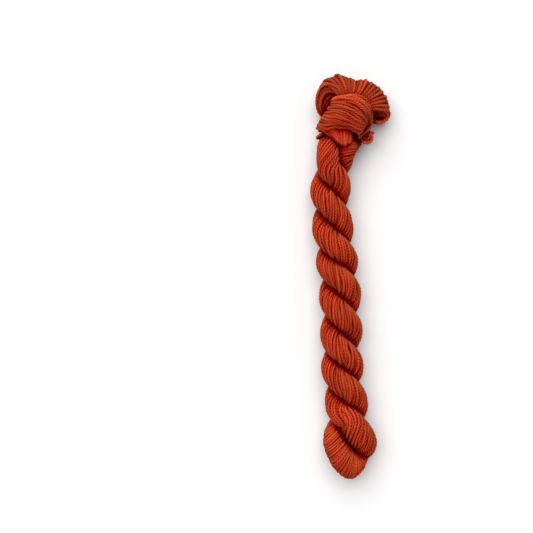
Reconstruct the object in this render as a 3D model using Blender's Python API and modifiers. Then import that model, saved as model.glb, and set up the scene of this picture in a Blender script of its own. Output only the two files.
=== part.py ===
"""A hank of yarn, lying on a flat surface.

The yarn is wound into a loop, the loop is twisted and folded in half, and its two halves twist
round each other as a two-cord rope. At the top one end of the loop is tucked through the other:
the outer end lies round the neck as a collar, and the tucked end opens above it as a fan of loops.

Lengths are in millimetres until a mesh is made. +X is to the right and +Y runs up the hank to the
fan, seen from above. +Z points up from the surface, which is at zero.
"""

from collections import namedtuple
from math import cos, pi, radians, sin, tan

import bmesh
import bpy
from mathutils import Vector

MM = 0.001

# ---- driving dimensions ----
CORD_RADIUS = 7.7  # one cord of the rope, both legs of the twisted loop together
ROPE_HEIGHT = 12.1  # the rope's middle above the surface, which flattens its underside a little
SLANT = tan(radians(10))  # the right side of each turn lies higher than its left side
FAN_RADIUS = 1.5  # one relaxed strand of the fan, pressed against its neighbours
FAN_LOOPS = 26
TIE_RADIUS = 1.2  # the tie is the same yarn, pulled tight
CLEARANCE = 0.45  # between the hank and the tie
COLLAR_BUNDLES = 6  # ridges that the collar's turns gather into
BUNDLE_RADIUS = 0.85  # of a ridge, as a share of the step from one ridge to the next
GATHERED_RADIUS = 1.5  # the least radius of a ridge, where the collar is gathered to its tip
COLLAR_CROWN = 0.22  # how much further the collar's middle stands out than its edges

UNDER_SURFACE = Vector((200, 400, 40))  # a block larger than the hank, which flattens it
YARN_COLOUR = (0.50, 0.072, 0.022)

# How finely each piece's skin is first made, and how many triangles are kept of it.
Skin = namedtuple("Skin", "voxel faces")
HANK_SKIN = Skin(0.6, 10200)
TIE_SKIN = Skin(0.32, 1500)
GROOVE_SKIN = Skin(0.4, 900)

# ---- shapes ----
Crossing = namedtuple("Crossing", "aside along swing")
Stop = namedtuple("Stop", "x y z radius")
Edge = namedtuple("Edge", "low_x low_y high_x high_y z")
Rim = namedtuple("Rim", "angle reach spread")

# One row for each half turn of the rope, from the neck down: where the cord in front crosses over
# the other, and how far each cord's middle swings out from the rope's middle.
CROSSINGS = (
    Crossing(-7.8, 83.2, 5.2),
    Crossing(-11.2, 62.9, 4.9),
    Crossing(-11.4, 41.6, 4.8),
    Crossing(-9.0, 18.5, 5.2),
    Crossing(-6.6, -0.8, 5.2),
    Crossing(-5.4, -22.4, 5.4),
    Crossing(-5.0, -44.0, 5.4),
    Crossing(-3.6, -64.4, 5.4),
    Crossing(-0.6, -84.8, 5.6),
)

# The cord in front at the last crossing turns back at the foot of the rope and becomes the other.
FOOT = (
    Stop(5.0, -92.0, 4.0, 7.9),
    Stop(8.8, -98.6, 1.4, 8.0),
    Stop(8.2, -105.0, -5.0, 6.4),
    Stop(4.4, -110.4, -3.8, 6.8),
    Stop(-0.6, -112.8, 2.2, 8.2),
    Stop(-5.8, -107.4, 4.0, 8.2),
    Stop(-8.2, -99.8, 1.6, 8.3),
    Stop(-5.6, -91.6, -3.2, 7.8),
)

# Fills the eye of the turn, which the yarn there closes.
EYE = (
    Stop(-1.0, -98.6, -2.4, 3.6),
    Stop(3.4, -106.0, -2.4, 3.6),
)

# Upper ends of the two cords, and where the even rope gives way to them, in half turns.
RIGHT_START, LEFT_START = 0.62, 0.9
ROPE_STEP = 0.25
RIGHT_END = (
    Stop(3.4, 88.6, -2.0, 5.0),
    Stop(0.2, 82.4, -0.4, 5.5),
    Stop(-2.6, 76.4, 0.8, 6.2),
)
LEFT_END = (
    Stop(-13.3, 75.2, 4.4, 7.0),
    Stop(-12.8, 80.0, -0.2, 6.7),
    Stop(-9.8, 87.6, -5.0, 6.2),
)

# The tucked leg, from the fork under the collar up to the root of the fan.
NECK = (
    Stop(-5.1, 76.4, 4.5, 1.6),
    Stop(-4.5, 78.4, 4.8, 3.3),
    Stop(-4.7, 80.8, 4.8, 5.2),
    Stop(-6.2, 83.8, 4.4, 6.8),
    Stop(-7.4, 88.4, 3.4, 7.6),
    Stop(-5.4, 94.0, 1.2, 7.6),
    Stop(-2.4, 99.6, 0.0, 7.0),
)
# An egg of gathered strands fills the collar.
BULK_CENTRE = Vector((-3.2, 97.6, 0.0))
BULK_RADII = (14.2, 9.6, 9.8)

# The collar goes once round the neck: its lower and upper edge, front left to front right and
# back behind. z is how far each place stands in front of the neck's middle.
COLLAR = (
    Edge(-19.0, 88.3, -18.4, 93.6, 0.0),
    Edge(-14.4, 88.6, -13.2, 101.2, 6.8),
    Edge(-8.4, 89.6, -6.8, 106.4, 10.8),
    Edge(-2.2, 89.8, 0.4, 107.6, 11.4),
    Edge(3.6, 88.6, 7.4, 105.2, 10.4),
    Edge(7.6, 87.4, 11.8, 99.8, 6.0),
    Edge(7.8, 87.0, 12.6, 92.6, 0.0),
    Edge(4.8, 88.6, 8.4, 98.6, -6.6),
    Edge(-3.0, 89.0, -2.4, 101.6, -8.6),
    Edge(-13.2, 88.6, -14.4, 97.4, -6.4),
)

# The fan opens round this point. Each row gives how far the loops reach at that angle, and by how
# many degrees each leg of a loop is turned from it, which opens the fan's ends to the front.
FAN_CENTRE = Vector((-1.8, 97.1))
FAN_RIM = (
    Rim(-9, 20.9, -9),
    Rim(-1, 23.1, -8),
    Rim(7, 25.2, -6),
    Rim(20, 25.5, -2),
    Rim(43, 25.0, 0),
    Rim(58, 23.8, 0),
    Rim(66, 23.0, 0),
    Rim(74, 21.3, 0),
    Rim(86, 21.6, 0),
    Rim(105, 24.5, 2),
    Rim(124, 23.5, 6),
    Rim(148, 20.0, 18),
    Rim(168, 16.4, 28),
)
# One loop of the fan seen from the side: distance from the centre, as a share of its reach, and
# height above the neck's middle. It leaves under the collar in front and comes back behind.
Bend = namedtuple("Bend", "share rise")
FAN_LOOP = (
    Bend(0.26, 7.2),
    Bend(0.48, 8.0),
    Bend(0.72, 6.4),
    Bend(0.92, 2.6),
    Bend(1.00, -2.8),
    Bend(0.92, -8.0),
    Bend(0.72, -10.4),
    Bend(0.48, -9.8),
    Bend(0.26, -7.0),
)
# What the loops close round: a soft bow at these angles, its share of their reach, its height
# above the neck's middle and its radius.
FILL_ANGLES = (12, 40, 70, 100, 130)
FILL_SHARE, FILL_RISE, FILL_RADIUS = 0.58, -1.2, 7.4

# The tie goes round the back of the neck, from under the collar's left end to its knot at the
# right. The knot is a trefoil, drawn out along the hank, and has a short free end.
TIE = (
    Stop(-15.8, 86.6, 5.0, TIE_RADIUS),
    Stop(-18.6, 84.8, 3.8, TIE_RADIUS),
    Stop(-20.2, 83.4, 0.6, TIE_RADIUS),
    Stop(-18.6, 83.4, -5.4, TIE_RADIUS),
    Stop(-13.4, 84.0, -9.6, TIE_RADIUS),
    Stop(-6.0, 84.2, -10.7, TIE_RADIUS),
    Stop(1.6, 84.0, -9.4, TIE_RADIUS),
    Stop(6.6, 83.4, -5.6, TIE_RADIUS),
)
KNOT_CENTRE = Vector((10.2, 83.9, 2.6))
KNOT_REACH = Vector((1.0, 1.36, 1.9))
KNOT_STEPS = 28
KNOT_OPENING = 0.06  # the part of the trefoil left out, where the tie goes in and out
KNOT_END = (
    Stop(11.8, 87.6, 4.6, TIE_RADIUS),
    Stop(13.5, 86.5, 4.0, TIE_RADIUS),
)


# ---- helpers ----
def clear_scene():
    for obj in list(bpy.data.objects):
        bpy.data.objects.remove(obj, do_unlink=True)


def collection(name):
    made = bpy.data.collections.new(name)
    bpy.context.scene.collection.children.link(made)
    return made


def yarn_material(name):
    material = bpy.data.materials.new(name)
    material.use_nodes = True
    shader = material.node_tree.nodes["Principled BSDF"]
    shader.inputs["Base Color"].default_value = (*YARN_COLOUR, 1.0)
    shader.inputs["Roughness"].default_value = 0.85
    shader.inputs["Metallic"].default_value = 0.0
    return material


def curve_point(rows, t):
    """A point on the soft curve through four rows, t of the way from the second to the third."""
    a, b, c, d = rows
    return 0.5 * (2 * b + (c - a) * t + (2 * a - 5 * b + 4 * c - d) * t**2
                  + (3 * b - a - 3 * c + d) * t**3)


def smooth(rows, steps, closed=False):
    """Points on a soft curve through the rows, each a tuple of numbers, steps to a row."""
    rows = [Vector(row) for row in rows]
    last = len(rows) - 1
    found = []
    for i in range(last + 1 if closed else last):
        near = (i - 1, i, i + 1, i + 2)
        four = [rows[k % (last + 1)] if closed else rows[min(max(k, 0), last)] for k in near]
        found += [curve_point(four, step / steps) for step in range(steps)]
    return found if closed else [*found, rows[-1]]


def between(rows, key, value):
    """The row of a table at this value of its column key, straight between its neighbours."""
    rows = sorted(rows, key=lambda row: getattr(row, key))
    for low, high in zip(rows, rows[1:]):
        if value <= getattr(high, key):
            break
    share = (value - getattr(low, key)) / (getattr(high, key) - getattr(low, key))
    return type(low)(*(a + (b - a) * share for a, b in zip(low, high)))


def tube(points, radii, closed=False, sides=4):
    """A round tube along the points, as a mesh with welded ends."""
    curve = bpy.data.curves.new("tube", "CURVE")
    curve.dimensions = "3D"
    curve.bevel_depth = MM
    curve.bevel_resolution = sides
    curve.use_fill_caps = not closed
    spline = curve.splines.new("POLY")
    spline.use_cyclic_u = closed
    spline.points.add(len(points) - 1)
    for point, place, radius in zip(spline.points, points, radii):
        point.co = (*(Vector(place) * MM), 1.0)
        point.radius = radius
    guide = bpy.data.objects.new("tube", curve)
    bpy.context.scene.collection.objects.link(guide)
    graph = bpy.context.evaluated_depsgraph_get()
    mesh = bpy.data.meshes.new_from_object(guide.evaluated_get(graph))
    bpy.data.objects.remove(guide)
    bpy.data.curves.remove(curve)
    work = bmesh.new()
    work.from_mesh(mesh)
    bmesh.ops.remove_doubles(work, verts=work.verts, dist=0.01 * MM)
    bmesh.ops.recalc_face_normals(work, faces=work.faces)
    work.to_mesh(mesh)
    work.free()
    return mesh


def stops_tube(stops, steps=6):
    """A tube through stops whose z counts from the rope's middle."""
    rows = smooth([(s.x, s.y, s.z + ROPE_HEIGHT, s.radius) for s in stops], steps)
    return tube([row.xyz for row in rows], [row.w for row in rows], sides=6)


def joined(name, meshes, into, material=None):
    """One object that holds all these meshes."""
    work = bmesh.new()
    for mesh in meshes:
        work.from_mesh(mesh)
        bpy.data.meshes.remove(mesh)
    whole = bpy.data.meshes.new(name)
    work.to_mesh(whole)
    work.free()
    if material:
        whole.materials.append(material)
    obj = bpy.data.objects.new(name, whole)
    into.objects.link(obj)
    return obj


def applied(obj):
    """Makes the object's modifiers permanent."""
    graph = bpy.context.evaluated_depsgraph_get()
    mesh = bpy.data.meshes.new_from_object(obj.evaluated_get(graph))
    old = obj.data
    obj.modifiers.clear()
    obj.data = mesh
    bpy.data.meshes.remove(old)
    mesh.name = obj.name


def one_skin(obj, skin):
    """Grows one closed skin over the object's overlapping meshes, then thins it out."""
    wrap = obj.modifiers.new("wrap", "REMESH")
    wrap.mode = "VOXEL"
    wrap.voxel_size = skin.voxel * MM
    wrap.adaptivity = 0.0
    applied(obj)
    fewer = obj.modifiers.new("fewer", "DECIMATE")
    fewer.ratio = skin.faces / sum(len(face.vertices) - 2 for face in obj.data.polygons)
    applied(obj)
    obj.data.shade_smooth()


# ---- the hank ----
def rope_stop(turn, side):
    """Middle of one cord, turn half turns below the neck's crossing. side is 1 for the cord in
    front at even turns and -1 for the other."""
    last = len(CROSSINGS) - 1
    row = min(int(turn), last - 1)
    four = [Vector(CROSSINGS[min(max(row + k, 0), last)]) for k in (-1, 0, 1, 2)]
    aside, along, swing = curve_point(four, turn - row)
    out = side * swing * sin(pi * turn)
    return Stop(aside + out, along + out * SLANT, side * swing * cos(pi * turn), CORD_RADIUS)


def half_turns(first):
    """Places along the rope, in half turns, from the first to the last crossing."""
    last = len(CROSSINGS) - 1
    count = round((last - first) / ROPE_STEP)
    return [first + (last - first) * i / count for i in range(count + 1)]


def rope():
    """The folded loop: down one cord, round the foot and up the other."""
    down = [rope_stop(turn, 1) for turn in half_turns(RIGHT_START)]
    up = [rope_stop(turn, -1) for turn in reversed(half_turns(LEFT_START))]
    return stops_tube([*RIGHT_END, *down, *FOOT, *up, *LEFT_END], steps=5)


def neck_bulk():
    """The gathered strands inside the collar."""
    work = bmesh.new()
    bmesh.ops.create_uvsphere(work, u_segments=24, v_segments=16, radius=MM)
    for vert in work.verts:
        for axis, radius in enumerate(BULK_RADII):
            vert.co[axis] *= radius
    place = (BULK_CENTRE + Vector((0, 0, ROPE_HEIGHT))) * MM
    bmesh.ops.translate(work, verts=work.verts, vec=place)
    mesh = bpy.data.meshes.new("bulk")
    work.to_mesh(mesh)
    work.free()
    return mesh


def collar_bundle(share):
    """One ridge of the collar, a closed ring, at this share of the way up it."""
    crown = 1 + COLLAR_CROWN * 4 * share * (1 - share)
    rows = []
    for edge in COLLAR:
        low, high = Vector((edge.low_x, edge.low_y)), Vector((edge.high_x, edge.high_y))
        step = (high - low).length / COLLAR_BUNDLES
        radius = max(GATHERED_RADIUS, BUNDLE_RADIUS * step)
        rows.append((*low.lerp(high, share), ROPE_HEIGHT + edge.z * crown, radius))
    rows = smooth(rows, 5, closed=True)
    return tube([row.xyz for row in rows], [row.w for row in rows], closed=True)


def collar():
    return [collar_bundle((i + 0.5) / COLLAR_BUNDLES) for i in range(COLLAR_BUNDLES)]


def fan_loop(angle):
    """One loop of the fan: out in front, over the rim and back behind."""
    rim = between(FAN_RIM, "angle", angle)
    rows = []
    for i, bend in enumerate(FAN_LOOP):
        leg = 2 * i / (len(FAN_LOOP) - 1) - 1
        turned = radians(angle + rim.spread * leg)
        place = FAN_CENTRE + bend.share * rim.reach * Vector((cos(turned), sin(turned)))
        rows.append((*place, ROPE_HEIGHT + bend.rise))
    points = smooth(rows, 3)
    return tube(points, [FAN_RADIUS] * len(points), sides=2)


def fan_fill():
    """The fan's inside, which leaves only a shallow hollow at each end."""
    stops = []
    for angle in FILL_ANGLES:
        out = FILL_SHARE * between(FAN_RIM, "angle", angle).reach
        place = FAN_CENTRE + out * Vector((cos(radians(angle)), sin(radians(angle))))
        stops.append(Stop(*place, FILL_RISE, FILL_RADIUS))
    return stops_tube(stops)


def fan():
    start, end = FAN_RIM[0].angle, FAN_RIM[-1].angle
    step = (end - start) / (FAN_LOOPS - 1)
    return [fan_loop(start + step * i) for i in range(FAN_LOOPS)]


def surface_block():
    """A block under the surface that the hank lies on."""
    work = bmesh.new()
    bmesh.ops.create_cube(work, size=1.0)
    bmesh.ops.scale(work, verts=work.verts, vec=UNDER_SURFACE * MM)
    bmesh.ops.translate(work, verts=work.verts, vec=Vector((0, 0, -UNDER_SURFACE.z / 2)) * MM)
    mesh = bpy.data.meshes.new("surface")
    work.to_mesh(mesh)
    work.free()
    return mesh


def cut(obj, name, mesh, into):
    """Takes the mesh's shape out of the object. Returns the cutter, which is not part of it."""
    cutter = joined(name, [mesh], into)
    cutter.hide_render = True
    cutter.display_type = "WIRE"
    taken = obj.modifiers.new(name, "BOOLEAN")
    taken.operation = "DIFFERENCE"
    taken.object = cutter
    return cutter


def hank(into, cutters, material):
    """All of the wound yarn as one solid, flat where it lies and pressed in under the tie."""
    meshes = [rope(), stops_tube(EYE), stops_tube(NECK), neck_bulk(), *collar(), fan_fill(), *fan()]
    obj = joined("hank", meshes, into, material)
    one_skin(obj, HANK_SKIN)
    cut(obj, "surface", surface_block(), cutters)
    groove = stops_tube(tie_stops(TIE_RADIUS + CLEARANCE))
    one_skin(cut(obj, "tie_groove", groove, cutters), GROOVE_SKIN)


# ---- the tie ----
def tie_stops(radius):
    """Round the back of the neck, through the knot and out to its short end."""
    knot = []
    for i in range(KNOT_STEPS + 1):
        t = 2 * pi * (KNOT_OPENING + (1 - 2 * KNOT_OPENING) * i / KNOT_STEPS)
        turn = Vector((sin(t) + 2 * sin(2 * t), cos(t) - 2 * cos(2 * t), -sin(3 * t)))
        place = KNOT_CENTRE + turn * KNOT_REACH
        knot.append(Stop(*place, radius))
    return [stop._replace(radius=radius) for stop in (*TIE, *knot, *KNOT_END)]


def tie(into, material):
    obj = joined("tie", [stops_tube(tie_stops(TIE_RADIUS), steps=3)], into, material)
    one_skin(obj, TIE_SKIN)


def main():
    clear_scene()
    parts, cutters = collection("hank_of_yarn"), collection("cutters")
    hank(parts, cutters, yarn_material("hank_yarn"))
    tie(parts, yarn_material("tie_yarn"))


main()
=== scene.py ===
import math

import bpy
import numpy as np
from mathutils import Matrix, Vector
from mathutils.bvhtree import BVHTree


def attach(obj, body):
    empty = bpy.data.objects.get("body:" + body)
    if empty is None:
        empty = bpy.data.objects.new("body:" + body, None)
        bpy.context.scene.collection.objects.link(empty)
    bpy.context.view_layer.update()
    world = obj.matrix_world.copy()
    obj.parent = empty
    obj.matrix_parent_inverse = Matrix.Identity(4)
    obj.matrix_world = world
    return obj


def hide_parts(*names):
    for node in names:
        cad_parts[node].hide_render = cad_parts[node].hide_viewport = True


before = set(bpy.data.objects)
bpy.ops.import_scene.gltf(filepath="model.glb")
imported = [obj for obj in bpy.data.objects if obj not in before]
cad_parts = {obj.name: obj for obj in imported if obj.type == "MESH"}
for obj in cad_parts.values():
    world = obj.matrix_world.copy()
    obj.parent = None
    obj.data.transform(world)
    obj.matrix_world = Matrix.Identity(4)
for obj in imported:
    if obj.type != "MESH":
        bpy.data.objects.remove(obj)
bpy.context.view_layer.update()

mm = 0.001  # everything below is in millimetres until it becomes a mesh
weld = 0.001 * mm  # points nearer than this become one
tiny = 1e-6  # keeps a division from a division by nothing

# What all the yarn shares. The plies are twisted the S way, so they lean to the left.
yarn = {
    "plies": 4,
    "plyLay": 7.0,  # length of one whole turn of a ply
    "plyGroove": 0.6,  # radius at the groove between two plies, as a share of the yarn's
    "uneven": 0.07,  # how much thicker and thinner the yarn gets along its length
    "unevenWaves": (9, 16, 27),  # and over what lengths
    "toneDrift": 0.12,  # how much lighter and darker it gets
    "toneWaves": (23, 61),
    "fibresFrom": 1000.0,  # a strand's fibres start anywhere on a length of this
    "ropeHeight": 12.1,  # the rope's middle above the surface
}


def between(rows, i, t, closed=False):
    # where a soft curve through rows of numbers is, a share t of the way from row i to the next
    last = len(rows) - 1
    near = (i - 1, i, i + 1, i + 2)
    a, b, c, d = (rows[k % (last + 1)] if closed else rows[min(max(k, 0), last)] for k in near)
    return 0.5 * (2 * b + (c - a) * t + (2 * a - 5 * b + 4 * c - d) * t**2
                  + (3 * b - a - 3 * c + d) * t**3)


def softLine(rows, steps=8, closed=False):
    # the curve itself, some steps from each row to the next
    rows = np.array(rows, float)
    spans = len(rows) if closed else len(rows) - 1
    found = [between(rows, i, t, closed) for i in range(spans) for t in np.arange(steps) / steps]
    return np.array(found if closed else [*found, rows[-1]])


def runAlong(rows):
    # distance from the first row to each
    return np.concatenate([[0.0], np.cumsum(np.linalg.norm(np.diff(rows[:, :3], axis=0), axis=1))])


def spaced(rows, step, closed=False, multiple=1):
    # the same line with its rows a step apart
    if closed:
        rows = np.vstack([rows, rows[:1]])
    run = runAlong(rows)
    count = max(multiple, multiple * round(run[-1] / step / multiple))
    at = np.linspace(0, run[-1], count + 1)
    at = at[:-1] if closed else at
    return np.column_stack([np.interp(at, run, column) for column in rows.T])


def travellingFrame(line):
    # three directions at each place on a line, which don't turn round it more than they must
    ahead = np.gradient(line[:, :3], axis=0)
    ahead /= np.linalg.norm(ahead, axis=1)[:, None]
    side = np.zeros_like(ahead)
    side[0] = np.cross(ahead[0], (0.0, 0.0, 1.0))
    for i in range(len(line)):
        if i:
            side[i] = side[i - 1]
        side[i] -= ahead[i] * side[i].dot(ahead[i])
        side[i] /= np.linalg.norm(side[i])
    return ahead, side, np.cross(ahead, side)


def wander(run, lengths, reach, chance):
    # a slow drift along a strand
    waves = [np.sin(2 * math.pi * (run / length + chance.random())) for length in lengths]
    return reach * sum(waves) / math.sqrt(len(lengths))


def eased(values, rounds):
    # evens out the places along each strand, but not its ends
    for _ in range(rounds):
        middle = (values[..., :-2] + 2 * values[..., 1:-1] + values[..., 2:]) / 4
        values = np.concatenate([values[..., :1], middle, values[..., -1:]], axis=-1)
    return values


yarnLines = []  # every strand's middle line and radius, once it is made
packing = {  # how strands in one bundle push each other apart
    "rounds": 40,
    "push": 0.3,  # how much of an overlap is taken up in a round
    "room": (0.3, 2),  # least and most room in a bend, as a share of that on a straight line
    "leastReach": 0.5,
    "innermost": 0.25,  # how near the middle a strand gets, as a share of the bundle's radius
}


def thickness(plan, chance):
    return plan["radius"] * (1 + plan["unlike"] * chance.uniform(-1, 1))


def withRadius(line, thick):
    return np.column_stack([line, np.full(len(line), thick)])


def settled(angle, out, thick, line, turned, frames):
    # Strands side by side in one bundle push each other apart, as rods in a tube do. angle and out
    # are where each one is in each section. On the outside of a bend there is more room.
    ahead, side, up = frames
    step = np.linalg.norm(np.gradient(line[:, :3], axis=0), axis=1)
    bend = np.gradient(ahead, axis=0) / step[:, None]
    bendSide, bendUp = (bend * side).sum(1), (bend * up).sum(1)
    limit, twist = line[:, 3], line[:, 4]
    same = np.arange(len(angle))
    for _ in range(packing["rounds"]):
        room = 1 - out * (np.cos(angle) * bendSide + np.sin(angle) * bendUp)
        room = np.clip(room, *packing["room"])
        lean = room / np.sqrt(room**2 + (out * twist) ** 2)
        apart = angle[:, None] - angle[None]
        apart -= 2 * math.pi * np.round(apart / (2 * math.pi))
        reach = (out[:, None] + out[None]) * (lean[:, None] + lean[None]) / 4
        reach = np.maximum(reach, packing["leastReach"])
        aside, rise = apart * reach, out[:, None] - out[None]
        gap = np.sqrt(aside**2 + rise**2) + tiny
        overlap = np.clip(thick[:, None, None] + thick[None, :, None] - gap, 0, None)
        push = overlap / gap * packing["push"]
        push[same, same] = 0
        angle = eased(angle + (push * aside / reach).sum(1) - turned, 1) + turned
        out = eased(out + (push * rise).sum(1), 1)
        out = np.clip(out, packing["innermost"] * limit, limit - thick[:, None])
    return angle, out


def bundle(stops, plan, chance):
    # Strands wound round a line. A stop is x, y, z, radius and twist, in radians a millimetre.
    line = spaced(softLine(stops, plan["steps"]), plan["section"])
    line[:, 2] += yarn["ropeHeight"]
    run = runAlong(line)
    ahead, side, up = travellingFrame(line)
    turned = np.concatenate([[0.0], np.cumsum((line[1:, 4] + line[:-1, 4]) / 2 * np.diff(run))])
    angles, outs, thicks = [], [], []
    for layer in plan["layers"]:
        for k in range(layer["strands"]):
            thick = thickness(layer, chance)
            spacing = 2 * math.pi / layer["strands"]
            start = (k + chance.uniform(-plan["astray"], plan["astray"])) * spacing
            drift = wander(run, plan["wander"], layer["drift"] * spacing, chance)
            angles.append(start + turned + drift)
            depth = layer["depth"] + wander(run, plan["wander"], layer["dive"], chance)
            outs.append(line[:, 3] - thick - np.maximum(depth, 0))
            thicks.append(thick)
    thick = np.array(thicks)
    angle, out = settled(np.array(angles), np.array(outs), thick, line, turned, (ahead, side, up))
    places = (line[None, :, :3] + out[..., None] * (np.cos(angle)[..., None] * side
                                                   + np.sin(angle)[..., None] * up))
    return line, run, places, thick


def kept(places, line, run, thick, plan):
    # where two turns of the cord meet, each strand stays on its own side of the plane between them
    own = line[:, :3]
    for j in range(len(places)):
        gap = np.linalg.norm(places[j][:, None] - own[None], axis=2)
        gap[np.abs(run[:, None] - run[None]) < plan["nextTurn"]] = np.inf
        nearest = gap.argmin(1)
        across = own[nearest] - own
        distance = np.linalg.norm(across, axis=1)
        across /= distance[:, None]
        radius, other = line[:, 3], line[nearest, 3]
        plane = (distance**2 + radius**2 - other**2) / (2 * distance)
        beyond = ((places[j] - own) * across).sum(1) - (plane - plan["apart"] * thick[j])
        beyond[(beyond < 0) | (distance > radius + other)] = 0
        places[j] -= across * beyond[:, None]
        places[j] = eased(places[j].T, plan["eased"]).T
    return places


def pliedSection(sides):
    # across the yarn, round but for a groove between each two plies
    bpy.ops.object.select_all(action="DESELECT")
    bpy.ops.mesh.primitive_circle_add(vertices=sides, radius=1)
    section = bpy.context.object
    for i, vert in enumerate(section.data.vertices):
        dip = (1 - math.cos(2 * math.pi * i * yarn["plies"] / sides)) / 2
        vert.co *= 1 - (1 - yarn["plyGroove"]) * dip
    bpy.ops.object.convert(target="CURVE")
    return bpy.context.object


def pointsOnYarn(alongs, tonesAndShade, closed, sides):
    # For each point of the mesh, where it is on its yarn and its tone with any painted shade. The
    # mesh has the caps first, from the last open strand's far end to the first one's near end, and
    # then the strands.
    turn = 2 * math.pi * np.arange(sides) / sides
    circle = np.column_stack([np.cos(turn), np.sin(turn)])
    isOpen = [i for i, ring in enumerate(closed) if not ring]
    order = [(i, [end]) for i in reversed(isOpen) for end in (-1, 0)]
    order += [(i, slice(None)) for i in range(len(closed))]
    laid, toneAndShade = [], []
    for i, part in order:
        along = alongs[i][part]
        laid.append(np.column_stack([np.tile(circle, (len(along), 1)), np.repeat(along, sides)]))
        toneAndShade.append(np.repeat(tonesAndShade[i][part], sides))
    return np.vstack(laid), np.concatenate(toneAndShade)


def woundYarn(name, strands, look, chance, sides=8):
    # Each strand is a curve with a plied section, and all of them become one mesh. A strand is its
    # rows of x, y, z and radius, whether it is closed, and its tone with any painted shade.
    section = pliedSection(sides)
    bpy.ops.object.select_all(action="DESELECT")
    bpy.ops.curve.primitive_nurbs_path_add()
    piece = bpy.context.object
    piece.name = piece.data.name = name
    curve = piece.data
    curve.splines.clear()
    curve.bevel_mode = "OBJECT"
    curve.bevel_object = section
    curve.use_fill_caps = True
    step = yarn["plyLay"] / sides
    alongs, tonesAndShade = [], []
    for rows, closed, toneAndShade in strands:
        rows = spaced(rows, step, closed, sides if closed else 1)
        spline = curve.splines.new("POLY")
        spline.use_cyclic_u = closed
        spline.points.add(len(rows) - 1)
        count = np.arange(len(rows))
        run = count * step
        if not closed:
            rows[:, 3] *= 1 + wander(run, yarn["unevenWaves"], yarn["uneven"], chance)
        rows[:, 2] = np.maximum(rows[:, 2], rows[:, 3])  # it lies on the surface, not in it
        yarnLines.append(rows)
        places = np.column_stack([rows[:, :3] * mm, np.ones(len(rows))])
        spline.points.foreach_set("co", places.ravel())
        spline.points.foreach_set("radius", rows[:, 3] * mm)
        start = 0 if closed else chance.uniform(0, 2 * math.pi)
        spline.points.foreach_set("tilt", start - count * 2 * math.pi / sides)
        alongs.append(run + chance.uniform(0, yarn["fibresFrom"]))
        tonesAndShade.append(toneAndShade + wander(run, yarn["toneWaves"], yarn["toneDrift"], chance))
    bpy.ops.object.convert(target="MESH")
    bpy.data.objects.remove(section)
    piece = bpy.context.object
    mesh = piece.data
    laid, toneAndShade = pointsOnYarn(alongs, tonesAndShade, [closed for rows, closed, own in strands], sides)
    mesh.attributes.new("laid", "FLOAT_VECTOR", "POINT").data.foreach_set("vector", laid.ravel())
    mesh.attributes.new("toneAndShade", "FLOAT", "POINT").data.foreach_set("value", toneAndShade)
    bpy.ops.object.mode_set(mode="EDIT")
    bpy.ops.mesh.select_all(action="SELECT")
    bpy.ops.mesh.remove_doubles(threshold=weld)
    bpy.ops.mesh.normals_make_consistent(inside=False)
    bpy.ops.object.mode_set(mode="OBJECT")
    bpy.ops.object.shade_smooth()
    mesh.materials.clear()
    mesh.materials.append(look)
    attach(piece, "root")
    print(f"{name}: {len(strands)} strands, {len(mesh.vertices)} points")
    return piece


wool = {
    "colour": (0.73, 0.162, 0.052, 1),
    # painted shade: the colour the wool turns to in crevices and on the sides of strands
    "shadeColour": (0.48, 0.002, 0.002, 1),
    # painted shade: the dark colour of the packed core and of the knot's fill
    "coreShadeColour": (0.12, 0.001, 0.001, 1),
    "fibres": {"Scale": 1.0, "Detail": 3.0},
    "stretch": (5.0, 5.0, 0.6),  # how many fibres there are across the yarn and along it
    "flecks": {"From Min": 0.3, "From Max": 0.7, "To Min": 0.78, "To Max": 1.2},
    "finish": {"Roughness": 0.9, "Specular IOR Level": 0.0, "Sheen Weight": 0.02,
               "Sheen Roughness": 0.5, "Sheen Tint": (1.0, 0.55, 0.4, 1)},
    "relief": {"Strength": 0.5, "Distance": 0.15 * mm},
}
mixSockets = {"A": 6, "B": 7, "Result": 2}  # a Mix node's colours, which share their names


def setInputs(node, values):
    for label, value in values.items():
        node.inputs[label].default_value = value


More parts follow.
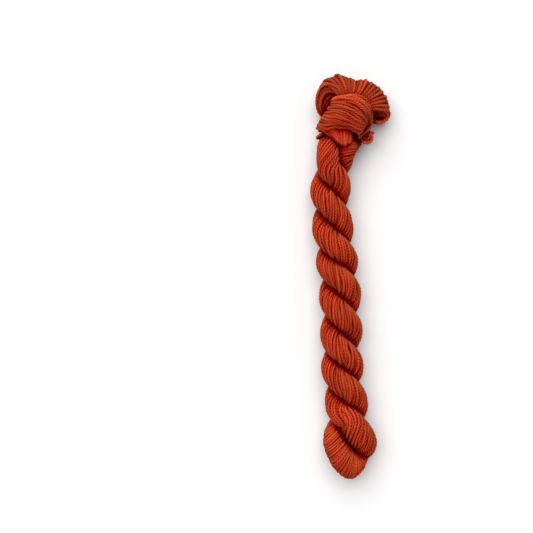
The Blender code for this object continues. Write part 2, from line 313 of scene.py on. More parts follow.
def woolGroup():
    # Colour and relief of spun wool. Fibres run along the plies, and the shade in crevices is
    # painted in, dark and red.
    group = bpy.data.node_groups.new("spunWool", "ShaderNodeTree")
    for side, kind, labels in (("INPUT", "NodeSocketColor", ("Wool", "Shade Colour")),
                               ("INPUT", "NodeSocketFloat", ("Mottle",)),
                               ("OUTPUT", "NodeSocketColor", ("Colour",)),
                               ("OUTPUT", "NodeSocketFloat", ("Height",))):
        for label in labels:
            group.interface.new_socket(label, in_out=side, socket_type=kind)
    node, link = group.nodes.new, group.links.new
    given, made = node("NodeGroupInput"), node("NodeGroupOutput")
    laid, toneAndShade, paintedShade = (node("ShaderNodeAttribute") for _ in range(3))
    laid.attribute_name, toneAndShade.attribute_name, paintedShade.attribute_name = "laid", "toneAndShade", "paintedShade"

    stretched, fibres = node("ShaderNodeMapping"), node("ShaderNodeTexNoise")
    setInputs(stretched, {"Scale": wool["stretch"]})
    setInputs(fibres, wool["fibres"])
    link(laid.outputs["Vector"], stretched.inputs["Vector"])
    link(stretched.outputs["Vector"], fibres.inputs["Vector"])
    link(fibres.outputs["Fac"], made.inputs["Height"])

    parts, blend = node("ShaderNodeSeparateXYZ"), node("ShaderNodeMix")
    blend.data_type = "RGBA"
    link(paintedShade.outputs["Vector"], parts.inputs["Vector"])
    link(parts.outputs["X"], blend.inputs["Factor"])
    link(given.outputs["Wool"], blend.inputs[mixSockets["A"]])
    link(given.outputs["Shade Colour"], blend.inputs[mixSockets["B"]])

    # how bright it is: flecks and the strand's tone with any painted shade, darker still where
    # painted shade falls
    flecks = node("ShaderNodeMapRange")
    mottled, dimmed = node("ShaderNodeMath"), node("ShaderNodeMath")
    setInputs(flecks, wool["flecks"])
    mottled.operation, dimmed.operation = "MULTIPLY_ADD", "MULTIPLY"
    link(fibres.outputs["Fac"], flecks.inputs["Value"])
    link(toneAndShade.outputs["Fac"], mottled.inputs[0])
    link(given.outputs["Mottle"], mottled.inputs[1])
    link(flecks.outputs["Result"], mottled.inputs[2])
    link(mottled.outputs["Value"], dimmed.inputs[0])
    link(parts.outputs["Y"], dimmed.inputs[1])
    bright = node("ShaderNodeVectorMath")
    bright.operation = "SCALE"
    link(blend.outputs[mixSockets["Result"]], bright.inputs["Vector"])
    link(dimmed.outputs["Value"], bright.inputs["Scale"])
    link(bright.outputs["Vector"], made.inputs["Colour"])
    return group


def woolLook(name, group, colour, shadeColour, mottle):
    look = bpy.data.materials.new(name)
    look.use_nodes = True
    tree = look.node_tree
    shader = tree.nodes["Principled BSDF"]
    setInputs(shader, wool["finish"])
    spun, relief = tree.nodes.new("ShaderNodeGroup"), tree.nodes.new("ShaderNodeBump")
    spun.node_tree = group
    setInputs(spun, {"Wool": colour, "Shade Colour": shadeColour, "Mottle": mottle})
    setInputs(relief, wool["relief"])
    tree.links.new(spun.outputs["Height"], relief.inputs["Height"])
    tree.links.new(spun.outputs["Colour"], shader.inputs["Base Color"])
    tree.links.new(relief.outputs["Normal"], shader.inputs["Normal"])
    return look


spunWool = woolGroup()
hankWool = woolLook("hankWool", spunWool, wool["colour"], wool["shadeColour"], 1.0)
coreShadeWool = woolLook("coreShadeWool", spunWool, wool["coreShadeColour"], wool["coreShadeColour"], 0.0)


# Two cords wound round each other. Their strands run down one, round the foot and up the other.
rope = {
    "crossings": (  # aside, along and swing at each half turn
        (-7.8, 83.2, 5.2), (-11.2, 62.9, 4.9), (-11.4, 41.6, 4.8), (-9.0, 18.5, 5.2),
        (-6.6, -0.8, 5.2), (-5.4, -22.4, 5.4), (-5.0, -44.0, 5.4), (-3.6, -64.4, 5.4),
        (-0.6, -84.8, 5.6),
    ),
    "cordRadius": 7.7,
    "slant": math.tan(math.radians(10)),
    "twist": 0.165,
    "rightStart": 0.86, "leftStart": 0.9, "turnStep": 0.25,  # in half turns
    # the ends and the foot: x, y, height from the middle, radius and twist
    "rightEnd": (
        (6.2, 87.0, -9.2, 2.8, 0.4), (3.8, 82.0, -5.0, 4.6, 0.4), (-0.6, 77.2, 1.4, 6.1, 0.38),
        (-3.3, 73.4, 0.5, 7.0, 0.3), (-5.2, 69.4, -1.6, 7.6, 0.2),
    ),
    "foot": (
        (4.3, -92.3, 4.0, 8.6, 0.2), (8.3, -98.8, 1.4, 8.5, 0.27), (8.2, -105.0, -5.0, 6.4, 0.32),
        (4.4, -109.4, -3.8, 4.6, 0.2), (-0.6, -111.8, 2.2, 5.9, 0.2), (-5.4, -107.0, 4.0, 5.9, 0.2),
        (-7.4, -99.8, 1.4, 6.0, 0.2), (-5.4, -91.6, -3.4, 6.4, 0.18),
    ),
    "leftEnd": ((-13.3, 75.2, 4.4, 7.0, 0.2), (-12.6, 80.0, -1.0, 6.4, 0.22),
                (-9.6, 87.6, -7.0, 5.2, 0.22)),
    "steps": 10, "section": 0.8,
    "pressed": 1.36,  # how much thicker a strand is than the room it takes, as the yarn is soft
    "tonesAndShade": (-0.1, 0.1),  # how much lighter each strand is, from and to
    "astray": 0.3,
    "wander": (13, 29, 61, 97),
    "layers": (  # depth is below the cord's skin, and drift and dive are how far a strand wanders
        {"strands": 26, "radius": 0.84, "unlike": 0.2, "depth": 0.1, "drift": 0.6, "dive": 0.6},
        {"strands": 9, "radius": 0.9, "unlike": 0.1, "depth": 1.8, "drift": 0.4, "dive": 0.5},
    ),
    "nextTurn": 25.0,  # how far along the cord another turn of it begins
    "apart": 0.8,  # how far strands there keep from the plane between, as a share of their radius
    "eased": 8,
}


def ropeStop(turn, side):
    # the middle of one cord, so many half turns below the neck
    rows = np.array(rope["crossings"])
    row = min(int(turn), len(rows) - 2)
    aside, along, swing = between(rows, row, turn - row)
    out = side * swing * math.sin(math.pi * turn)
    return (aside + out, along + out * rope["slant"], side * swing * math.cos(math.pi * turn),
            rope["cordRadius"], rope["twist"])


def ropeStrands(chance):
    last = len(rope["crossings"]) - 1
    runs = []
    for first, side in ((rope["rightStart"], 1), (rope["leftStart"], -1)):
        count = round((last - first) / rope["turnStep"])
        runs.append([ropeStop(turn, side) for turn in np.linspace(first, last, count + 1)])
    down, up = runs
    stops = [*rope["rightEnd"], *down, *rope["foot"], *reversed(up), *rope["leftEnd"]]
    line, run, places, thick = bundle(stops, rope, chance)
    places = kept(places, line, run, thick, rope)
    return [(withRadius(place, radius * rope["pressed"]), False, chance.uniform(*rope["tonesAndShade"]))
            for place, radius in zip(places, thick)]


chance = np.random.default_rng(11)
strands = ropeStrands(chance)
outer = rope["layers"][0]["strands"]
oddRope = woundYarn("oddRope", strands[:outer:2], hankWool, chance)
evenRope = woundYarn("evenRope", strands[1:outer:2], hankWool, chance)
innerRope = woundYarn("innerRope", strands[outer:], hankWool, chance)
print("rope done")


# Where the rope turns back, and where the tucked leg comes up under the collar, the strands lie
# side by side over the hank.
foot = {
    "rows": (  # in the crease under the rope, at the outline, and how high the middle is
        (-9.0, -84.6, -12.4, -88.4, 7.0), (-8.2, -86.2, -14.8, -92.2, 8.5),
        (-6.6, -88.6, -16.4, -98.0, 10.0), (-3.6, -93.4, -15.6, -104.6, 11.5),
        (-0.8, -98.0, -13.0, -110.4, 12.0), (0.8, -100.6, -9.4, -116.2, 12.0),
        (1.6, -101.8, -4.8, -120.2, 12.0), (2.4, -102.4, -0.2, -122.2, 11.5),
        (3.4, -103.2, 4.4, -119.8, 11.0), (5.2, -104.6, 7.8, -116.4, 10.0),
        (7.0, -106.0, 9.4, -113.2, 9.0), (8.8, -107.4, 10.6, -110.4, 8.0),
    ),
    "strands": 40, "astray": 0.35,
    # its tones sit lower than the rope's
    "radius": 1.0, "unlike": 0.14, "tonesAndShade": (-0.22, 0.02),
    "rise": 12.6,  # half the height, where the solid isn't lower
    "beyond": 0.9, "within": 0.6,  # how far outside and inside the solid a strand may lie
    "turn": (158, -150),  # degrees round the middle, from in the crease to underneath
    "places": 44, "eased": 6,
    "sink": 0.5,
    "heap": 0.8,  # how much deeper every other strand lies in the crease, where they draw together
}
neck = {
    "rows": (  # under the collar, where the leg goes in between the two cords, and its height
        (-15.4, 86.4, -9.4, 81.6, 18.6), (-12.2, 87.0, -8.2, 80.2, 21.6),
        (-10.0, 87.6, -7.0, 79.0, 22.8), (-8.0, 88.2, -5.8, 78.0, 23.2),
        (-5.6, 88.6, -4.7, 77.4, 23.5), (-3.2, 88.6, -3.1, 77.2, 23.2),
        (-1.0, 88.2, -1.0, 78.2, 22.0), (0.6, 87.2, 0.8, 80.2, 19.6),
    ),
    "strands": 16, "astray": 0.2,
    "radius": 0.8, "unlike": 0.1, "tonesAndShade": (-0.12, 0.12),
    "start": -0.35,  # how far behind the first place a strand begins, as a share of its length
    "places": 24,
    "slope": 1.2,  # how far it comes down over its length
    "dive": 0.2, "under": 5.0,  # the last share of that, and how far it goes down there
    "sink": 0.3, "heap": 0.3,
}


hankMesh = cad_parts["hank"].data
solidSkin = BVHTree.FromPolygons([vert.co / mm for vert in hankMesh.vertices],
                                 [tuple(face.vertices) for face in hankMesh.polygons])


def footStrands(chance):
    rows = softLine(foot["rows"])
    run = runAlong(rows[:, 2:4])
    strands = []
    for k in range(foot["strands"]):
        at = (k + 0.5 + chance.uniform(-1, 1, 2) * foot["astray"]) / foot["strands"] * run[-1]
        start, rim = (np.array([np.interp(place, run, column) for column in rows.T]) for place in at)
        middle = Vector([*(start[:2] + rim[2:4]) / 2, rim[4]])
        across = (rim[2:4] - start[:2]) / 2
        thick = thickness(foot, chance)
        sink = foot["sink"] * chance.uniform(0, 1)
        path = []
        for turn in np.radians(np.linspace(*foot["turn"], foot["places"])):
            reach = Vector([*across * math.cos(turn), foot["rise"] * math.sin(turn)])
            hit = solidSkin.ray_cast(middle, reach.normalized())[3] or reach.length
            least = hit - foot["within"] if turn < math.pi / 2 else 0
            far = min(max(reach.length, least), hit + foot["beyond"])
            heap = foot["heap"] * (k % 2) * max(turn, 0) / math.radians(foot["turn"][0])
            path.append(middle + reach.normalized() * (far - thick - sink - heap))
        path = eased(np.array(path).T, foot["eased"]).T
        strands.append((withRadius(path, thick), False, chance.uniform(*foot["tonesAndShade"])))
    return strands


def neckStrands(chance):
    rows = softLine(neck["rows"])
    share = np.linspace(neck["start"], 1, neck["places"])
    dive = np.clip((share - 1 + neck["dive"]) / neck["dive"], 0, 1)
    strands = []
    for k in range(neck["strands"]):
        at = (k + 0.5 + chance.uniform(-1, 1) * neck["astray"]) / neck["strands"] * (len(rows) - 1)
        x, y, endX, endY, high = (np.interp(at, np.arange(len(rows)), column) for column in rows.T)
        thick = thickness(neck, chance)
        height = high - thick - neck["slope"] * share - neck["under"] * dive**2
        height -= neck["sink"] * chance.uniform(0, 1) + neck["heap"] * (k % 2)
        path = np.column_stack([x + (endX - x) * share, y + (endY - y) * share, height])
        strands.append((withRadius(path, thick), False, chance.uniform(*neck["tonesAndShade"])))
    return strands


chance = np.random.default_rng(5)
footYarn = woundYarn("footYarn", footStrands(chance), hankWool, chance, sides=12)
neckYarn = woundYarn("neckYarn", neckStrands(chance), hankWool, chance, sides=16)


# The outer end of the loop lies once round the neck. Its strands fan out to the left and draw
# together at the right, where the upper ones lie over the lower.
collar = {
    "edges": (  # lower edge, upper edge and height of each place, from front left to back
        (-19.6, 88.4, -8.6, 104.4, 0.0), (-14.8, 86.9, -9.2, 105.4, 6.8),
        (-8.4, 88.2, -6.2, 106.2, 10.8), (-2.2, 88.6, 0.4, 107.2, 11.4),
        (3.6, 86.2, 7.4, 105.2, 10.4), (7.5, 88.4, 11.8, 99.8, 6.0),
        (8.2, 89.0, 12.6, 93.0, 0.0), (4.8, 88.6, 8.4, 98.6, -6.6),
        (-3.0, 89.0, -2.4, 101.6, -8.6), (-13.2, 88.6, -12.4, 100.4, -6.4),
    ),
    "steps": 12,
    "middle": (-3.2, 97.6, 0.0),
    "crown": 0.22,  # how much higher it is between its edges, as a share
    "ridges": 6, "ridge": 0.85, "ridgeLeast": 1.5,  # the solid's, which set how thick it is
    "edge": 0.7,  # how much of that it loses towards its edges
    # its tones sit low, as painted shade: lying face up, it would otherwise come out brighter than
    # the rope
    "radius": 1.08, "unlike": 0.1, "tonesAndShade": (-0.29, -0.05),
    "strands": {"main": 13, "over": 5, "inner": 12}, "astray": 0.2,
    "deep": {"main": 0.3, "over": -0.5, "inner": 2.0},
    # how far the main strands draw together below the parting, and how wide those over them spread
    "gather": (1.0, 1.0, 0.9, 0.8, 0.69, 0.57, 0.5, 0.7, 0.9, 1.0),
    "sag": (0.0, 0.05, 0.15, 0.75, 1.0, 1.0, 1.0, 0.5, 0.2, 0.0),
    "spread": (0.06, 0.06, 0.1, 0.17, 0.31, 0.43, 0.5, 0.4, 0.3, 0.1),
    "heap": 1.8,  # how much deeper every other strand lies where they draw together
    "drift": 0.018, "driftWaves": (2, 3, 5),
    "swell": 0.25, "swells": 3,
    "phase": 7,  # a wave starts anywhere up to this, in radians
}


def collarStrand(kind, start, odd, thick, chance):
    steps = collar["steps"]
    rows = softLine(collar["edges"], steps, closed=True)
    gather, sag, spread = (softLine(np.array(collar[name])[:, None], steps, closed=True)[:, 0]
                           for name in ("gather", "sag", "spread"))
    turn = 2 * math.pi * np.arange(len(rows)) / len(rows)
    # its place between the edges, as a share
    share = 1 - (1 - start) * (spread if kind == "over" else 1)
    if kind == "main":
        share = gather * start ** (1 + sag)
    for waves in collar["driftWaves"]:
        drift = collar["drift"] * np.sin(waves * turn + chance.uniform(0, collar["phase"]))
        share = share + drift / math.sqrt(waves)
    low, high, height = rows[:, :2], rows[:, 2:4], rows[:, 4]
    crown = 4 * collar["crown"]
    line = np.column_stack([low + (high - low) * share[:, None],
                            height * (1 + crown * share * (1 - share))])
    ahead = np.roll(line, -1, axis=0) - np.roll(line, 1, axis=0)
    upward = np.column_stack([high - low, height * crown * (1 - 2 * share)])
    outward = np.cross(ahead, upward)
    outward /= np.linalg.norm(outward, axis=1)[:, None]
    outward *= np.sign(((line - np.array(collar["middle"])) * outward).sum(1))[:, None]
    # how far out of the solid's face between the edges it lies
    step = np.linalg.norm(high - low, axis=1) / collar["ridges"]
    skin = np.maximum(collar["ridgeLeast"], collar["ridge"] * step)
    rounding = np.sqrt(np.clip(1 - collar["edge"] * (2 * share - 1) ** 2, 0, 1))
    out = skin * rounding - thick - collar["deep"][kind]
    if kind == "main":
        out = out - odd * collar["heap"] * (1 - gather)
    swell = np.sin(collar["swells"] * turn + chance.uniform(0, collar["phase"]))
    line = line + outward * (out + collar["swell"] * swell)[:, None]
    line[:, 2] += yarn["ropeHeight"]
    return withRadius(line, thick)


def collarStrands(chance):
    strands = []
    for kind, count in collar["strands"].items():
        for k in range(count):
            thick = thickness(collar, chance)
            start = (k + 0.5 + chance.uniform(-1, 1) * collar["astray"]) / count
            toneAndShade = chance.uniform(*collar["tonesAndShade"])
            strands.append((collarStrand(kind, start, k % 2, thick, chance), True, toneAndShade))
    return strands


chance = np.random.default_rng(8)
collarYarn = woundYarn("collarYarn", collarStrands(chance), hankWool, chance, sides=16)


# The tucked end opens above the collar as loops, each out in front, over the rim and back behind.
fan = {
    "centre": (-1.8, 97.1),
    "rim": (  # angle, reach and how far a loop's legs part, in degrees and millimetres
        (4, 24.8, -12), (9, 25.4, -9), (18, 25.5, -4), (30, 25.3, -2), (43, 25.0, 3),
        (58, 23.8, 4), (66, 23.0, 5), (74, 21.3, 6), (86, 21.6, 9), (98, 22.8, 12),
        (104, 25.1, 14), (110, 23.6, 16), (116, 23.9, 18), (122, 24.6, 19), (130, 23.4, 20),
    ),
    "loop": (  # share of the reach and height
        (0.26, 7.2), (0.48, 8.0), (0.72, 6.4), (0.92, 2.6), (1.00, -2.8), (0.92, -8.0),
        (0.72, -10.4), (0.48, -9.8), (0.26, -7.0),
    ),
    "skin": 1.5,  # the loops' thickness in the solid, whose outer side these keep to
    # their tones sit low, as painted shade: lying face up, the loops would otherwise come out
    # brighter than the rope
    "radius": 1.16, "unlike": 0.1, "tonesAndShade": (-0.38, -0.14),
    "loops": (22, 29),  # those in sight and those under them
    "inside": (0.0, 1.8), "insideReach": 0.3, "insideLift": 0.8,
    "crowding": 1.25,  # loops stand closer towards the left
    "turnedBy": 1.6, "reachBy": (-0.6, 0.24), "bentBy": 1.5, "liftBy": 0.35,
    # at the left the loops curl round a hollow: the outermost of them and the innermost
    "curls": (
        ((-2.0, 106.6, 7.0), (-6.0, 110.4, 7.4), (-11.4, 114.2, 6.8), (-16.6, 113.4, 5.2),
         (-19.2, 109.4, 3.6), (-19.8, 104.8, 2.0), (-19.0, 100.8, 0.2), (-16.4, 97.4, -2.0)),
        ((-5.4, 106.4, 6.2), (-8.8, 109.2, 6.6), (-12.2, 110.4, 6.0), (-15.4, 109.0, 4.6),
         (-17.3, 105.6, 2.8), (-17.6, 102.2, 1.0), (-16.6, 99.4, -1.0), (-14.0, 96.8, -3.2)),
    ),
    "curled": (3, 3, 3), "curledIn": 0.7,  # how many on each level, and how far in that goes
    "last": (2, 2, 2), "lastIn": -0.6,
    "curlBelow": 1.8, "heap": 0.6, "sinkBy": 0.3, "astray": 0.2,
    "stacked": 6, "stackedBelow": 2.1, "stackedIn": 0.16,
    # and at the right the last ones curl round a small hole
    "lastLoops": (
        ((9.4, 101.2, 5.0), (13.9, 100.8, 5.0), (18.4, 99.6, 4.0), (22.0, 97.6, 2.0),
         (22.2, 95.4, 0.2), (19.4, 93.6, -0.8), (16.0, 93.4, -1.6), (13.4, 94.8, -2.6),
         (11.0, 96.4, -4.0)),
        ((9.6, 103.0, 5.6), (15.0, 102.6, 5.6), (20.4, 101.2, 4.0), (23.4, 98.2, 0.6),
         (22.4, 95.4, -3.0), (19.0, 93.8, -4.6), (15.6, 93.8, -5.4), (12.6, 95.4, -5.6),
         (10.8, 97.0, -6.0)),
    ),
}


def fanLoop(angle, inside, thick, chance):
    angle = angle + chance.uniform(-1, 1) * fan["turnedBy"]
    angles, reaches, spreads = np.array(fan["rim"]).T
    reach = np.interp(angle, angles, reaches) + chance.uniform(*fan["reachBy"])
    reach -= fan["insideReach"] * inside
    shares, rises = np.array(fan["loop"]).T
    leg = np.linspace(-1, 1, len(shares))
    bent = chance.uniform(-1, 1) * fan["bentBy"] * (1 - leg**2)
    turned = np.radians(angle + np.interp(angle, angles, spreads) * leg + bent)
    out = shares * reach + fan["skin"] - thick
    lift = (fan["skin"] - thick - fan["insideLift"] * inside) * np.sign(rises)
    lift += chance.uniform(-1, 1) * fan["liftBy"] + yarn["ropeHeight"]
    x, y = fan["centre"]
    line = np.column_stack([x + out * np.cos(turned), y + out * np.sin(turned), rises + lift])
    return withRadius(softLine(line), thick)


def fanLoops(count, inside, chance):
    first, last = fan["rim"][0][0], fan["rim"][-1][0]
    strands = []
    for k in range(count):
        thick = thickness(fan, chance)
        angle = last - (last - first) * (1 - k / (count - 1)) ** fan["crowding"]
        toneAndShade = chance.uniform(*fan["tonesAndShade"])
        strands.append((fanLoop(angle, inside, thick, chance), False, toneAndShade))
    return strands


def curls(lines, counts, inward, chance):
    # strands between two lines, and below them more, each level a little further in
    outer, inner = (softLine(line) for line in lines)
    strands = []
    for level, count in enumerate(counts):
        for k in range(count):
            thick = thickness(fan, chance)
            share = (k + chance.uniform(-1, 1) * fan["astray"]) / (count - 1) + level * inward
            line = outer + (inner - outer) * share
            sunk = level * fan["curlBelow"] + fan["heap"] * (k % 2)
            sunk += chance.uniform(-1, 1) * fan["sinkBy"]
            line[:, 2] += yarn["ropeHeight"] - sunk
            strands.append((withRadius(line, thick), False, chance.uniform(*fan["tonesAndShade"])))
    return strands


def stacked(line, chance):
    # and more of them under the outermost, down to the surface
    strands = []
    for k in range(1, fan["stacked"] + 1):
        thick = thickness(fan, chance)
        rows = softLine(line)
        inward = fan["stackedIn"] * (k / fan["stacked"]) ** 2
        rows[:, :2] += (np.array(fan["centre"]) - rows[:, :2]) * inward
        rows[:, 2] += yarn["ropeHeight"] - k * fan["stackedBelow"]
        strands.append((withRadius(rows, thick), False, chance.uniform(*fan["tonesAndShade"])))
    return strands


chance = np.random.default_rng(3)
curled = curls(fan["curls"], fan["curled"], fan["curledIn"], chance)
curled += curls(fan["lastLoops"], fan["last"], fan["lastIn"], chance)
curled += stacked(fan["curls"][0], chance)
curlYarn = woundYarn("curlYarn", curled, hankWool, chance, sides=16)
named = zip(("fanYarn", "innerFan"), fan["loops"], fan["inside"])
fanYarn, innerFan = (woundYarn(name, fanLoops(count, inside, chance), hankWool, chance, sides=16)
                     for name, count, inside in named)
print("fan done")


# The same yarn, once round the back of the neck, with a knot at the right and two short ends.
tie = {
    # the same yarn, made darker as painted shade where it lies at the neck
    "radius": 1.1, "toneAndShade": -0.24,
    "steps": 6,
    "round": (
        (-15.6, 86.2, 3.2), (-18.2, 84.8, 2.6), (-19.6, 83.6, 0.2), (-17.2, 84.0, -4.6),
        (-13.4, 84.0, -9.6), (-6.0, 84.2, -10.7), (1.6, 84.0, -9.4), (6.4, 82.6, -5.6),
    ),
    "knot": (
        (5.8, 84.0, -0.4), (6.0, 82.6, 2.2), (7.4, 81.0, 3.2), (9.7, 80.3, 3.4), (11.9, 80.9, 3.0),
        (12.9, 82.6, 2.8), (12.7, 84.6, 2.6), (11.2, 85.6, 2.0), (9.2, 85.0, 1.4), (8.0, 83.8, 1.4),
        (8.8, 82.6, 1.8), (10.4, 82.2, 2.2), (11.4, 83.6, 2.4), (11.9, 85.4, 2.4), (13.0, 86.5, 2.4),
        (14.3, 86.1, 2.2),
    ),
    "over": (
        (11.8, 90.6, 2.0), (11.2, 88.8, 4.8), (9.9, 87.2, 6.0), (8.2, 86.0, 6.2), (6.6, 84.8, 5.4),
        (5.6, 83.4, 4.0), (5.6, 81.8, 1.4),
    ),
    "cutEnd": ((6.6, 87.4, 7.6), (5.6, 86.2, 9.6), (4.5, 85.2, 10.6), (3.9, 84.6, 11.0)),
    "hearts": (  # middle and reach of what shows between the turns
        ((9.6, 84.8, 0.6), (3.3, 4.2, 1.2)), ((-15.4, 84.8, -1.6), (3.0, 2.0, 3.6)),
    ),
}


def tieStrands():
    strands = []
    for line in (tie["round"] + tie["knot"], tie["over"], tie["cutEnd"]):
        rows = softLine(line, tie["steps"])
        rows[:, 2] += yarn["ropeHeight"]
        strands.append((withRadius(rows, tie["radius"]), False, tie["toneAndShade"]))
    return strands


def tieHeart():
    # what shows between the turns of the knot, and under the strand at the left, dark as painted
    # shade
    bpy.ops.object.select_all(action="DESELECT")
    balls = []
    for (x, y, z), reach in tie["hearts"]:
        bpy.ops.mesh.primitive_ico_sphere_add(
            subdivisions=4, radius=mm, location=(x * mm, y * mm, (z + yarn["ropeHeight"]) * mm))
        balls.append(bpy.context.object)
        balls[-1].scale = reach
    for ball in balls:
        ball.select_set(True)
    bpy.ops.object.transform_apply(location=True, rotation=True, scale=True)
    bpy.ops.object.join()
    piece = bpy.context.object
    bpy.context.scene.cursor.location = (0, 0, 0)
    bpy.ops.object.origin_set(type="ORIGIN_CURSOR")
    piece.name = piece.data.name = "tieHeart"
    bpy.ops.object.shade_smooth()
    piece.data.materials.append(coreShadeWool)
    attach(piece, "root")
    return piece


chance = np.random.default_rng(2)
tieYarn = woundYarn("tieYarn", tieStrands(), hankWool, chance, sides=16)


# The wool is counted in small cells, and what lies in front of a place in them shades it. That shade
# is painted into the wool's colour.
cells = {
    "size": 0.5, "margin": 8.0,
    "dots": 40, "dotsOut": 0.95,  # how many mark the yarn's thickness, and how far out they go
    "valley": 0.7,  # how much painted shade the groove between two plies gets
    # how many cells it looks round, how far out from the surface, how full it is there in the open
    # and how much the rest counts
    "near": {"reach": 2, "out": 0.9, "open": 0.19, "share": 1.4},
    "far": {"reach": 6, "out": 2.4, "open": 0.18, "share": 3.4},
    "aside": {"reach": 4, "open": 0.08, "full": 0.2, "share": 2.2},
    # corners the light hardly gets into, painted dark as shade: middle and reach
    "corners": (((5.4, 81.8, 13.0), 4.6), ((-15.2, 84.4, 14.0), 3.4), ((9.6, 88.4, 14.0), 3.0)),
    "cornerShare": 1.6,
    "dim": (0.15, 0.0, 0.37, 0.13, 0.4),  # how much each of these, in order, darkens the wool as painted shade
    "dimmest": 0.75,
}


def blurred(grid, reach):
    # the mean over a soft ball some cells wide
    for axis in (0, 1, 2) * 3:
        pad = [(0, 0)] * 3
        pad[axis] = (reach + 1, reach)
        total = np.cumsum(np.pad(grid, pad), axis=axis)
        count = grid.shape[axis]
        upper = np.take(total, range(2 * reach + 1, 2 * reach + 1 + count), axis=axis)
        grid = (upper - np.take(total, range(count), axis=axis)) / (2 * reach + 1)
    return grid


def filledCells(low, size):
    grid = np.zeros(size, np.float32)
    ball = np.random.default_rng(1).normal(size=(cells["dots"], 3))
    far = np.linspace(0, cells["dotsOut"], cells["dots"])
    ball *= (far / np.linalg.norm(ball, axis=1))[:, None]
    for rows in yarnLines:
        rows = spaced(rows, cells["size"])
        filled = (rows[:, None, :3] + ball * rows[:, None, 3:] - low) / cells["size"]
        grid[tuple(filled.reshape(-1, 3).astype(int).T)] = 1
    return grid


def cellsAt(place, low, size):
    found = ((place - low) / cells["size"]).round().astype(int)
    return tuple(np.clip(found, 0, size - 1).T)


def vectorsOf(data, label):
    found = np.zeros(len(data) * 3)
    data.foreach_get(label, found)
    return found.reshape(-1, 3)


def paintedShadeParts(mesh, low, fields, inward):
    # how much painted shade each point gets: between plies, by what is near and far in front, by
    # what is beside it, and in a corner
    place, normal = vectorsOf(mesh.vertices, "co") / mm, vectorsOf(mesh.vertices, "normal")
    size = np.array(inward[0].shape)
    turn = np.zeros(len(place))
    if "laid" in mesh.attributes:
        laid = vectorsOf(mesh.attributes["laid"].data, "vector")
        turn = np.arctan2(laid[:, 1], laid[:, 0])
    parts = [cells["valley"] * (1 - np.cos(turn * yarn["plies"])) / 2]
    full = {}
    for name, field in fields.items():
        view = cells[name]
        full[name] = field[cellsAt(place + normal * view["out"], low, size)]
        parts.append(view["share"] * (full[name] - view["open"]).clip(0, None))
    at, view = cellsAt(place, low, size), cells["aside"]
    outward = -np.array([axis[at] for axis in inward]).T
    outward /= np.linalg.norm(outward, axis=1).clip(tiny, None)[:, None]
    beside = ((full["near"] - view["open"]) / view["full"]).clip(0, 1)
    parts.append(view["share"] * (1 - (outward * normal).sum(1)).clip(0, 1) * beside)
    dark = [1 - np.linalg.norm(place - middle, axis=1) / far for middle, far in cells["corners"]]
    parts.append(cells["cornerShare"] * np.max(dark, axis=0).clip(0, None))
    return parts


def paintedShadePlaces(pieces):
    every = np.vstack(yarnLines)[:, :3]
    low = every.min(0) - cells["margin"]
    size = ((every.max(0) + cells["margin"] - low) / cells["size"]).astype(int) + 1
    grid = filledCells(low, size)
    fields = {name: blurred(grid, cells[name]["reach"]) for name in ("near", "far")}
    inward = np.gradient(blurred(grid, cells["aside"]["reach"]))
    for piece in pieces:
        parts = paintedShadeParts(piece.data, low, fields, inward)
        # painted shade: how far each point turns to the shade colour, and how much darker it gets
        red = sum(parts).clip(0, 1)
        dim = sum(share * part for share, part in zip(cells["dim"], parts))
        paintedShade = np.column_stack([red, 1 - dim.clip(0, cells["dimmest"]), np.zeros(len(red))])
        made = piece.data.attributes.new("paintedShade", "FLOAT_VECTOR", "POINT")
        made.data.foreach_set("vector", paintedShade.ravel())


# What shows between the strands is more yarn, packed too close to tell apart, painted dark as the
# shade between them.
core = {
    "inset": 1.9, "grain": 1.1,
    # where the loops curl round a hollow: middle, across, along and how deep
    "hollows": ((-14.0, 104.6, 4.6, 6.0, 9.0), (17.0, 96.8, 4.0, 2.6, 9.0)),
    "steep": 4,  # how sharply a hollow's sides go down
}


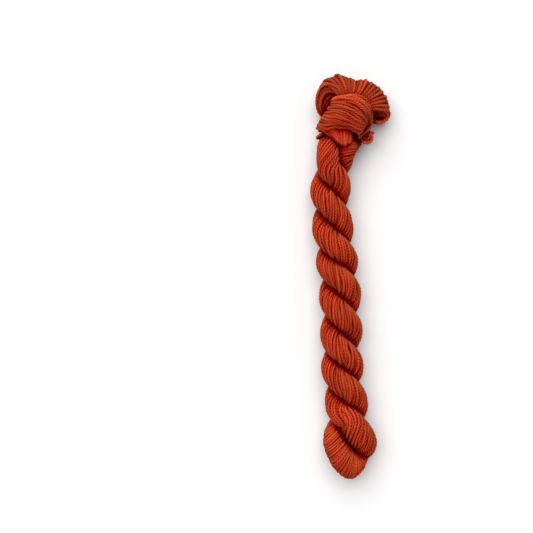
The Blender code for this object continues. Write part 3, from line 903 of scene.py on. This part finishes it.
def packedCore():
    bpy.ops.object.select_all(action="DESELECT")
    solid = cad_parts["hank"]
    piece = solid.copy()
    piece.data = solid.data.copy()
    for key in [key for key in piece.keys() if key.startswith("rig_")]:
        del piece[key]
    piece.parent = None
    piece.name = piece.data.name = "packedCore"
    bpy.context.collection.objects.link(piece)
    bpy.context.view_layer.objects.active = piece
    piece.select_set(True)
    bpy.ops.object.mode_set(mode="EDIT")
    bpy.ops.mesh.select_all(action="SELECT")
    bpy.ops.mesh.remove_doubles(threshold=weld)
    bpy.ops.transform.shrink_fatten(value=-core["inset"] * mm)
    bpy.ops.object.mode_set(mode="OBJECT")
    even = piece.modifiers.new("even", "REMESH")
    even.mode = "VOXEL"
    even.voxel_size = core["grain"] * mm
    bpy.ops.object.modifier_apply(modifier="even")
    half = yarn["ropeHeight"] * mm
    for x, y, across, along, deep in core["hollows"]:
        for vert in piece.data.vertices:
            far = math.hypot((vert.co.x / mm - x) / across, (vert.co.y / mm - y) / along)
            if far < 1 and vert.co.z > half:
                vert.co.z -= deep * (1 - far ** core["steep"]) * mm
    bpy.ops.object.shade_smooth()
    piece.data.materials.clear()
    piece.data.materials.append(coreShadeWool)
    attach(piece, "root")
    return piece


inHank = [oddRope, evenRope, innerRope, footYarn, neckYarn, collarYarn, fanYarn, innerFan, curlYarn,
          packedCore()]
inTie = [tieYarn, tieHeart()]
paintedShadePlaces(inHank + inTie)
for label, pieces in (("hank", inHank), ("tie", inTie)):
    for piece in pieces:
        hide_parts(label)
print("core done")


# Floor, light and camera.
stage = {
    "floor": 6.0,  # metres
    "paper": {"Base Color": (0.865, 0.865, 0.865, 1), "Roughness": 0.95},
    "sky": {"Color": (1, 1, 1, 1), "Strength": 0.36},
    "sun": 3.04, "sunTurn": (-28, -12, 0), "sunWidth": 68,  # degrees
    "across": 320.0,  # what the picture takes in, at the rope's height
    "aim": (-50.1, 6.3),
    "lens": 85.0, "sensor": 36.0,
}


def setStage():
    bpy.ops.object.select_all(action="DESELECT")
    bpy.ops.mesh.primitive_plane_add(size=stage["floor"])
    floor = bpy.context.object
    floor.name = "floor"
    paper = bpy.data.materials.new("paper")
    paper.use_nodes = True
    setInputs(paper.node_tree.nodes["Principled BSDF"], stage["paper"])
    floor.data.materials.append(paper)
    world = bpy.data.worlds.new("studio")
    world.use_nodes = True
    setInputs(world.node_tree.nodes["Background"], stage["sky"])
    bpy.context.scene.world = world
    bpy.ops.object.light_add(type="SUN", rotation=np.radians(stage["sunTurn"]))
    sun = bpy.context.object
    sun.data.energy = stage["sun"]
    sun.data.angle = math.radians(stage["sunWidth"])
    high = stage["across"] / stage["sensor"] * stage["lens"] + yarn["ropeHeight"]
    bpy.ops.object.camera_add(location=(stage["aim"][0] * mm, stage["aim"][1] * mm, high * mm))
    camera = bpy.context.object
    camera.data.lens, camera.data.sensor_width = stage["lens"], stage["sensor"]
    bpy.context.scene.camera = camera
    bpy.context.scene.view_settings.view_transform = "Standard"


setStage()
